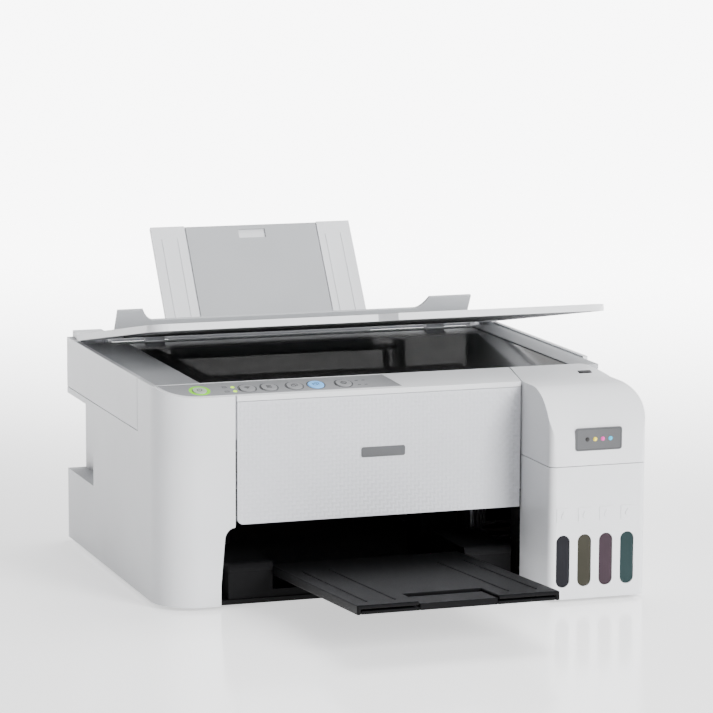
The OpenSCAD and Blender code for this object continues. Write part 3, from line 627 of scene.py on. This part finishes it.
@dataclass
class ControlPanel(Assembly):
    """The sloped strip with its buttons, their rings and signs, and the lights.

    Attributes:
        slope: The strip's rise towards the rear, per unit of depth.
        line: The width of a sign's lines.
        rise: How far a button's top stands above the strip.
        ring: The width of the printed ring round a button, and its gap to the button.
        lit_ring: The same of the lit ring round the power button.
        frame_mark: Half the width and half the height of a mark beside the lights.
        dash: Half the length of a dash beside the stop button.
        dashes_at: How far the dashes stand to the right of the stop button.
        signs: For each button its sign, and the finishes of button, sign and ring.
    """

    slope: float = 7 / 26
    line: float = 0.6 * MM
    rise: float = 0.7 * MM
    ring: Point = (0.5 * MM, 0.7 * MM)
    lit_ring: Point = (2.4 * MM, 0.4 * MM)
    frame_mark: Point = (1.6 * MM, 1.0 * MM)
    dash: float = 1.2 * MM
    dashes_at: Point = (5.5 * MM, 11.0 * MM)
    signs: dict[str, tuple[Icon, Finish, Finish, Finish]] = field(default_factory=lambda: {
        "power_button": (Icon.POWER, BUTTON_GREEN, PRINT_DARK, RING_GREEN),
        "network_button": (Icon.NETWORK, BUTTON, PRINT_DARK, PRINT_GREY),
        "info_button": (Icon.SHEET, BUTTON, PRINT_DARK, PRINT_GREY),
        "mono_button": (Icon.COPY, BUTTON, PRINT_DARK, PRINT_GREY),
        "colour_button": (Icon.COPY, BUTTON_BLUE, PRINT_GREY, PRINT_GREY),
        "stop_button": (Icon.STOP, BUTTON, PRINT_DARK, PRINT_DARK),
    })

    def on_strip(self, x: float, y: float, lift: float = 0.0) -> Matrix:
        """Returns the place of a plane on the strip, lifted off it by a distance."""
        high = corners("control_strip")[1]
        return Matrix.Translation((x, y, high.z - (high.y - y) * self.slope)) \
            @ Matrix.Rotation(math.atan(self.slope), 4, "X") @ Matrix.Translation((0, 0, lift))

    def build(self) -> None:
        """Makes the strip, the buttons, the rings, the signs and the lights."""
        self.shell("control_strip", STRIP, 0.3 * MM)
        self.shell("status_lights", LIGHT, 0.2 * MM)
        for node, (icon, finish, sign, ring) in self.signs.items():
            self.build_button(node, icon, finish, sign, ring)
        self.build_marks()
        self.report()

    def build_button(self, node: str, icon: Icon, finish: Finish, sign: Finish,
                     ring: Finish) -> None:
        """Makes one button with its sign, and the ring printed round it.

        Args:
            node: The button's CAD node and body.
            icon: The sign on it.
            finish: The finish of the button.
            sign: The finish of the sign.
            ring: The finish of the ring.
        """
        low, high = corners(node)
        x, y = (low.x + high.x) / 2, (low.y + high.y) / 2
        radius = (high.x - low.x) / 2
        self.shell(node, finish, 0.3 * MM)
        lines = [ribbon("line", [(a * MM, b * MM) for a, b in path], self.line, PRINT,
                        self.on_strip(x, y, self.rise)) for path in icon.value]
        self.add(joined(node + "_sign", lines), sign, node)
        width, clear = self.lit_ring if ring is RING_GREEN else self.ring
        loop = ribbon(node + "_ring", disc(radius + clear + width / 2, 64), width, PRINT,
                      self.on_strip(x, y), closed=True)
        self.add(loop, ring, "scanner")

    def build_marks(self) -> None:
        """Prints the small plain marks beside the lights and the stop button."""
        low, high = corners("status_lights")
        right = corners("stop_button")[1].x
        wide, tall = self.frame_mark
        square = [(-wide, -tall), (wide, -tall), (wide, tall), (-wide, tall)]
        marks = []
        for y in (low.y + 1.5 * MM, high.y - 1.5 * MM):
            marks.append(ribbon("mark", square, self.line, PRINT,
                                self.on_strip(low.x - 5 * MM, y), closed=True))
            for offset in self.dashes_at:
                marks.append(ribbon("mark", [(-self.dash, 0.0), (self.dash, 0.0)],
                                    self.line * 1.3, PRINT, self.on_strip(right + offset, y)))
        self.add(joined("strip_marks", marks), PRINT_GREY, "scanner")


@dataclass
class InkTanks(Assembly):
    """The four tanks, their caps, tubes, windows, signs and the badge.

    Attributes:
        window_width: The width of one window.
        drop: The radius of the drop above a window, and the height of its tip.
        drop_z: The height of the drops' middles.
        drop_rise: How far a drop stands out of the cover.
        badge: The badge's width and height.
        badge_at: The badge's centre in X and Z.
        badge_rise: How far the badge stands out of the cover.
        rim_margin: How far the badge's printed rim lies inside its edge.
        dot: The radius of a dot on the badge.
        dot_pitch: The distance between the dots.
        label: The width and the length of the small label on top.
        label_at: The label's centre in X, and in Y behind the front.
    """

    window_width: float = 11 * MM
    drop: Point = (1.9 * MM, 3.8 * MM)
    drop_z: float = 68.6 * MM
    drop_rise: float = 0.5 * MM
    badge: Point = (39 * MM, 18 * MM)
    badge_at: Point = (146.5 * MM, 128.5 * MM)
    badge_rise: float = 0.6 * MM
    rim_margin: float = 1.2 * MM
    dot: float = 1.7 * MM
    dot_pitch: float = 6.4 * MM
    label: Point = (11 * MM, 5 * MM)
    label_at: Point = (164 * MM, 11 * MM)

    def build(self) -> None:
        """Makes what shows of each tank, then the badge and the label."""
        for ink, colour in INKS.items():
            self.paint("ink_tank_" + ink, Finish("ink_" + ink, "ink_" + ink, colour, 0.15,
                                                 coat=0.5, variation=0.1))
            self.shell("tank_cap_" + ink, Finish("cap_" + ink, "cap_" + ink, colour, 0.4), 0.4 * MM)
        self.paint("ink_tubes", TUBE)
        self.build_windows()
        self.build_badge()
        self.report()

    def build_windows(self) -> None:
        """Makes one tinted window for each ink, and the sign above it."""
        low, high = corners("tank_windows")
        pitch = (high.x - low.x - self.window_width) / (len(WINDOW_TINTS) - 1)
        height = high.z - low.z
        outline = round_box(self.window_width, height, self.window_width / 2 - 0.01 * MM, 12)
        for i, (ink, tint) in enumerate(WINDOW_TINTS.items()):
            x = low.x + self.window_width / 2 + i * pitch
            place = facing_front(x, high.y, (low.z + high.z) / 2)
            window = outline_piece("tank_window_" + ink, outline, high.y - low.y, place)
            self.add(window, Finish("window_" + ink, "window_smoke", tint, 0.25,
                                    grain_size=3 * MM, grain_depth=0.01, variation=0.25,
                                    specular=0.15), "base")
            rounded(window, 0.5 * MM, 3)
            if i == 0:
                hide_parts("tank_windows")
            self.build_sign(ink, x)

    def build_sign(self, ink: str, x: float) -> None:
        """Raises a drop on the square above a window.

        Args:
            ink: The ink's name.
            x: The window's middle.
        """
        front = corners("tank_lower_cover")[0].y
        radius, tip = self.drop
        drop = [*arc(radius, -200, 20, steps=20), (0.0, tip)]
        sign = outline_piece("drop_" + ink, drop, self.drop_rise,
                             facing_front(x, front, self.drop_z))
        rounded(self.add(sign, WHITE, "base"), 0.12 * MM)

    def build_badge(self) -> None:
        """Makes the plain badge with a dot for each ink, and the dark label on top."""
        front = corners("tank_upper_cover")[0].y
        face = front - self.badge_rise
        x, z = self.badge_at
        width, height = self.badge
        plate = outline_piece("tank_badge", round_box(width, height, 2.2 * MM), self.badge_rise,
                              facing_front(x, front, z))
        rounded(self.add(plate, SILVER, "scanner"), 0.2 * MM)
        inset = 2 * self.rim_margin
        rim = ribbon("tank_badge_rim", round_box(width - inset, height - inset, 1.4 * MM),
                     0.3 * MM, 0.08 * MM, facing_front(x, face, z), closed=True)
        self.add(rim, PRINT_GREY, "scanner")
        for i, (ink, colour) in enumerate(INKS.items()):
            place = facing_front(x + (i - 1.5) * self.dot_pitch, face, z)
            dot = outline_piece("badge_dot_" + ink, disc(self.dot, 28), 0.15 * MM, place)
            self.add(dot, Finish("cap_" + ink, "cap_" + ink, colour, 0.4), "scanner")
        self.build_label()

    def build_label(self) -> None:
        """Lays the dark label on the slope of the upper cover."""
        slope = ControlPanel().slope
        x, back = self.label_at
        strip_high = corners("control_strip")[1]
        z = strip_high.z + 0.2 * MM - (strip_high.y - FRONT_Y - back) * slope
        place = Matrix.Translation((x, FRONT_Y + back, z)) \
            @ Matrix.Rotation(math.atan(slope), 4, "X")
        label = outline_piece("tank_label", round_box(*self.label, 0.8 * MM), 0.3 * MM, place)
        self.add(label, LABEL, "scanner")


@dataclass
class ScannerBed(Assembly):
    """The lid with its foam mat, and the glass in its grey surround.

    Attributes:
        lid_edge: The radius of the lid's rolled edge.
        mark: The side of the corner mark by the glass.
        mark_at: How far the mark lies to the right of the glass and behind its front edge.
        tick: Half the length of a size tick, and its width.
        tick_gap: How far a tick's middle lies to the right of the glass.
        tick_pitch: The distance between the size ticks along the glass.
    """

    lid_edge: float = 1.6 * MM
    mark: float = 5 * MM
    mark_at: Point = (5 * MM, 6 * MM)
    tick: Point = (2 * MM, 0.4 * MM)
    tick_gap: float = 4 * MM
    tick_pitch: float = 25.4 * MM

    def build(self) -> None:
        """Makes the lid, the mat, the surround, the glass and the marks."""
        self.shell("lid_cover", WHITE, self.lid_edge)
        # The mat's dark grey is painted shade, not the white foam's own colour.
        mat = self.shell("document_mat", MAT_PAINTED_SHADE, 1.0 * MM)
        self.shell("scanner_bezel", BEZEL, 0.6 * MM)
        self.shell("scanner_glass", GLASS, 0.3 * MM)
        self.paint("scan_rail", STEEL)
        self.paint("scan_head", BLACK)
        self.build_marks()
        self.report()

    def build_marks(self) -> None:
        """Makes the corner mark and the ticks, level with the foot of the surround."""
        low, high = corners("scanner_glass")
        foot = corners("scanner_bezel")[0].z
        right, back = self.mark_at
        side = self.mark
        arrow = [(-side * 0.2, 0.0), (side * 0.8, side * 0.5), (side * 0.8, -side * 0.5)]
        corner = outline_piece("corner_mark", arrow, PRINT,
                               Matrix.Translation((high.x + right, low.y + back, foot)))
        self.add(corner, PRINT_DARK, "scanner")
        half, width = self.tick
        ticks = []
        for i in range(int((high.y - low.y) / self.tick_pitch)):
            spot = (high.x + self.tick_gap, low.y + (i + 1) * self.tick_pitch, foot)
            ticks.append(ribbon("tick", [(-half, 0.0), (half, 0.0)], width, PRINT,
                                Matrix.Translation(spot)))
        self.add(joined("glass_ticks", ticks), PRINT_DARK, "scanner")


@dataclass
class SheetFeeder(Assembly):
    """The rear feeder: its tray, guide, guard and paper support.

    Attributes:
        lean: The paper support's lean to the rear.
        pivot: The support's pivot in X, in Y behind the housing's front, and in Z.
        face: How far the support's face lies in front of its pivot.
        rib: The width and the height of a rib on the paper support.
        rib_start: How far above the pivot a rib begins.
        rib_margins: How much shorter a rib is than the support above its pivot.
        ribs_at: The places of the ribs on each side, from the support's middle.
    """

    lean: float = math.radians(34)
    pivot: tuple[float, float, float] = (-4 * MM, 298 * MM, 150 * MM)
    face: float = 4 * MM
    rib: Point = (1.6 * MM, 0.5 * MM)
    rib_start: float = 16 * MM
    rib_margins: float = 30 * MM
    ribs_at: Point = (67 * MM, 81 * MM)

    def build(self) -> None:
        """Makes every part of the feeder that shows."""
        self.shell("feeder_tray", CHARCOAL)
        self.shell("edge_guide", CHARCOAL)
        self.shell("feeder_guard", BEZEL, 0.8 * MM)
        self.shell("paper_support", WHITE, 0.8 * MM)
        self.shell("support_extension", BEZEL, 0.3 * MM)
        self.build_ribs()
        self.report()

    def build_ribs(self) -> None:
        """Raises the ribs that the sheets lean on."""
        front = corners("lower_housing")[0].y
        pivot = Vector(self.pivot) + Vector((0.0, front, 0.0))
        surface = Matrix.Translation(pivot) @ Matrix.Rotation(-self.lean, 4, "X") \
            @ Matrix.Translation((0, -self.face, 0)) \
            @ Matrix.Rotation(math.radians(90), 4, "X")
        reach = (corners("paper_support")[1].z - pivot.z) / math.cos(self.lean)
        length = reach - self.rib_margins
        ribs = []
        for side in (-1, 1):
            for x in self.ribs_at:
                middle = (side * x, self.rib_start + length / 2, 0)
                ribs.append(outline_piece("rib", round_box(self.rib[0], length, 0.7 * MM, 4),
                                          self.rib[1], surface @ Matrix.Translation(middle)))
        self.add(joined("support_ribs", ribs), WHITE, "paper_support")


@dataclass
class OutputTray(Assembly):
    """The dark tray with its extension and stopper, and the frame beside it.

    Attributes:
        slope: The tray's rise towards the front, in degrees.
        root_z: The height of the tray's top under the front panel.
        rib: The width and the height of a rib.
        rib_length: The length of a rib.
        rib_start: How far in front of the panel a rib begins.
        ribs_at: The places of the ribs across the tray, from its middle.
    """

    slope: float = 3.7
    root_z: float = 31 * MM
    rib: Point = (1.4 * MM, 0.5 * MM)
    rib_length: float = 150 * MM
    rib_start: float = 30 * MM
    ribs_at: tuple[float, ...] = (-66 * MM, -44 * MM, 44 * MM, 66 * MM)

    def build(self) -> None:
        """Makes the tray and the fixed parts round it."""
        self.shell("output_tray", CHARCOAL, 0.8 * MM)
        self.shell("tray_extension", CHARCOAL, 0.4 * MM)
        self.shell("tray_stopper", CHARCOAL, 0.5 * MM)
        self.shell("tray_frame", CHARCOAL, 0.5 * MM)
        self.build_ribs()
        self.report()

    def build_ribs(self) -> None:
        """Raises the ribs that the sheets slide on."""
        low, high = corners("output_tray")
        surface = Matrix.Translation(((low.x + high.x) / 2, FRONT_Y, self.root_z)) \
            @ Matrix.Rotation(math.radians(-self.slope), 4, "X")
        width, rise = self.rib
        ribs = []
        for x in self.ribs_at:
            place = surface @ Matrix.Translation((x, -self.rib_start - self.rib_length / 2, 0))
            ribs.append(outline_piece("rib", round_box(width, self.rib_length, 0.6 * MM, 4),
                                      rise, place))
        self.add(joined("tray_ribs", ribs), CHARCOAL, "output_tray")


@dataclass
class Mechanism(Assembly):
    """The frame, the carriage, the rollers, the gears and the electrics inside.

    Attributes:
        pin: The radius and the length of a pin in the mains inlet.
        pin_half_pitch: Half the distance between the two pins.
        pin_depth: How far inside the rear face a pin begins.
        port_at: The data port's centre in X and Z.
        port: The width and the height of the port's metal rim, to the rim's middle.
        rim: The width and the height of the rim's metal.
        finishes: The finish of each inner node that keeps its CAD shape.
    """

    pin: Point = (1.2 * MM, 11 * MM)
    pin_half_pitch: float = 4.3 * MM
    pin_depth: float = 17 * MM
    port_at: Point = (130 * MM, 37 * MM)
    port: Point = (11.2 * MM, 9.2 * MM)
    rim: Point = (0.6 * MM, 0.4 * MM)
    finishes: dict[str, Finish] = field(default_factory=lambda: {
        "main_frame": STEEL, "carriage_rail": STEEL, "carriage": BLACK, "print_head": STEEL,
        "drive_belt": RUBBER, "carriage_motor": STEEL, "motor_pulley": BRASS,
        "idler_pulley": GEAR, "feed_roller": RUBBER, "eject_roller": RUBBER,
        "feed_motor": STEEL, "motor_pinion": BRASS, "platen": BLACK, "pinch_roller": STEEL,
        "pickup_roller": RUBBER, "cap_station": BLACK, "power_supply": BLACK,
        "main_board": BOARD, "transfer_gear": GEAR,
    })

    def build(self) -> None:
        """Gives the inner parts their finishes and makes the sockets of the rear."""
        for node, finish in self.finishes.items():
            self.paint(node, finish)
        self.build_sockets()
        self.report()

    def build_sockets(self) -> None:
        """Makes the mains inlet with its pins, and the metal shell of the data port."""
        self.shell("ac_inlet", BLACK, 0.4 * MM)
        low, high = corners("ac_inlet")
        x, z = (low.x + high.x) / 2, (low.z + high.z) / 2
        radius, length = self.pin
        pins = [outline_piece("pin", disc(radius, 20), length,
                              facing_rear(x + side * self.pin_half_pitch,
                                          high.y - self.pin_depth, z))
                for side in (-1, 1)]
        self.add(joined("inlet_pins", pins), STEEL, "base")
        port = facing_rear(self.port_at[0], high.y, self.port_at[1])
        shell = ribbon("port_shell", round_box(*self.port, 0.8 * MM), *self.rim, port,
                       closed=True)
        self.add(shell, STEEL, "base")
        width, height = (size - 1.6 * MM for size in self.port)
        tongue = outline_piece("port_tongue", round_box(width, height, 0.5 * MM), 0.1 * MM, port)
        self.add(tongue, LABEL, "base")


@dataclass
class Studio:
    """The pale floor that brightens to the rear, the soft lights and the camera.

    Attributes:
        eye: The camera's place.
        yaw: Its turn from the rear towards the right, in degrees.
        pitch: Its tilt below level, in degrees.
        roll: Its roll, in degrees.
        lens: Its focal length in millimetres.
        sensor: The width of its sensor in millimetres.
        floor_reach: How far the floor goes each way, in metres.
        near_glow: The floor's own light by the printer.
        far_glow: The floor's own light away from it.
        away: The direction in which the floor's light grows.
        near_reach: How far that way the light begins to grow, in metres.
        far_reach: How far that way it stops growing, in metres.
        left_light: The surround's strength on the far left.
        right_light: The surround's strength on the far right.
    """

    eye: tuple[float, float, float] = (-0.8797, -2.54528, 0.6034)
    yaw: float = 19.034
    pitch: float = 8.979
    roll: float = -0.226
    lens: float = 172.8
    sensor: float = 36.0
    floor_reach: float = 30.0
    near_glow: float = 1.2
    far_glow: float = 9.0
    away: tuple[float, float, float] = (0.5, 0.87, 0.0)
    near_reach: float = 0.1
    far_reach: float = 2.0
    left_light: float = 0.03
    right_light: float = 0.95

    def build(self) -> None:
        """Makes the floor, the lights, the backdrop and the camera."""
        self.build_floor()
        self.build_world()
        self.build_light("key", (0.95, -2.3, 1.1), 1.0, 125.0)
        self.build_light("top", (0.6, 0.6, 2.0), 1.3, 50.0)
        self.build_camera()

    def build_floor(self) -> None:
        """Makes the pale, slightly glossy floor, whose own light grows towards the rear."""
        shape = bmesh.new()
        bmesh.ops.create_grid(shape, x_segments=8, y_segments=8, size=self.floor_reach)
        floor = from_bmesh("floor", shape)
        finish = Finish("floor_sheet", "", (0.86, 0.86, 0.865), 0.14, grain_size=40 * MM,
                        grain_depth=0.0, variation=0.004, glow=self.near_glow)
        surface = finish.material()
        nodes, links = surface.node_tree.nodes, surface.node_tree.links
        place = nodes.new("ShaderNodeTexCoord")
        reach = nodes.new("ShaderNodeVectorMath")
        reach.operation = "DOT_PRODUCT"
        reach.inputs[1].default_value = self.away
        links.new(place.outputs["Object"], reach.inputs[0])
        level = nodes.new("ShaderNodeMapRange")
        level.interpolation_type = "SMOOTHSTEP"
        level.inputs["From Min"].default_value = self.near_reach
        level.inputs["From Max"].default_value = self.far_reach
        level.inputs["To Min"].default_value = self.near_glow
        level.inputs["To Max"].default_value = self.far_glow
        links.new(reach.outputs["Value"], level.inputs["Value"])
        links.new(level.outputs["Result"], nodes["Principled BSDF"].inputs["Emission Strength"])
        floor.data.materials.append(surface)

    def build_world(self) -> None:
        """Makes a white surround that is darker on the left, as a room with one large window."""
        world = bpy.data.worlds.new("studio")
        bpy.context.scene.world = world
        world.use_nodes = True
        nodes, links = world.node_tree.nodes, world.node_tree.links
        surround = nodes["Background"]
        place = nodes.new("ShaderNodeTexCoord")
        sides = nodes.new("ShaderNodeSeparateXYZ")
        links.new(place.outputs["Generated"], sides.inputs["Vector"])
        level = nodes.new("ShaderNodeMapRange")
        level.inputs["From Min"].default_value = -1.0
        level.inputs["To Min"].default_value = self.left_light
        level.inputs["To Max"].default_value = self.right_light
        links.new(sides.outputs["X"], level.inputs["Value"])
        links.new(level.outputs["Result"], surround.inputs["Strength"])
        surround.inputs["Color"].default_value = (1.0, 1.0, 1.0, 1.0)

    def build_light(self, name: str, at: tuple[float, float, float], size: float,
                    power: float) -> None:
        """Adds one soft square light that faces the printer and isn't seen in reflections.

        Args:
            name: The light's name.
            at: Where it stands.
            size: The side of its square.
            power: Its power in watts.
        """
        data = bpy.data.lights.new(name, "AREA")
        data.size = size
        data.energy = power
        lamp = bpy.data.objects.new(name, data)
        bpy.context.scene.collection.objects.link(lamp)
        lamp.location = at
        lamp.visible_glossy = False
        aim = Vector((0.0, 0.0, 0.1)) - Vector(at)
        lamp.rotation_euler = aim.to_track_quat("-Z", "Y").to_euler()

    def build_camera(self) -> None:
        """Makes the camera and hands it to the scene."""
        data = bpy.data.cameras.new("camera")
        data.lens = self.lens
        data.sensor_width = self.sensor
        data.clip_start, data.clip_end = 0.05, 50.0
        camera = bpy.data.objects.new("camera", data)
        bpy.context.scene.collection.objects.link(camera)
        turn = Matrix.Rotation(math.radians(-self.yaw), 4, "Z") \
            @ Matrix.Rotation(math.radians(90 - self.pitch), 4, "X") \
            @ Matrix.Rotation(math.radians(-self.roll), 4, "Z")
        camera.matrix_world = Matrix.Translation(self.eye) @ turn
        bpy.context.scene.camera = camera


def main() -> None:
    """Builds every group of the printer in order, then the studio."""
    logging.basicConfig(level=logging.INFO, format="%(message)s")
    for group in (Housing(), FrontPanel(), ControlPanel(), InkTanks(), ScannerBed(),
                  SheetFeeder(), OutputTray(), Mechanism()):
        group.build()
    Studio().build()
    bpy.context.view_layer.update()


if __name__ == "__main__":
    main()
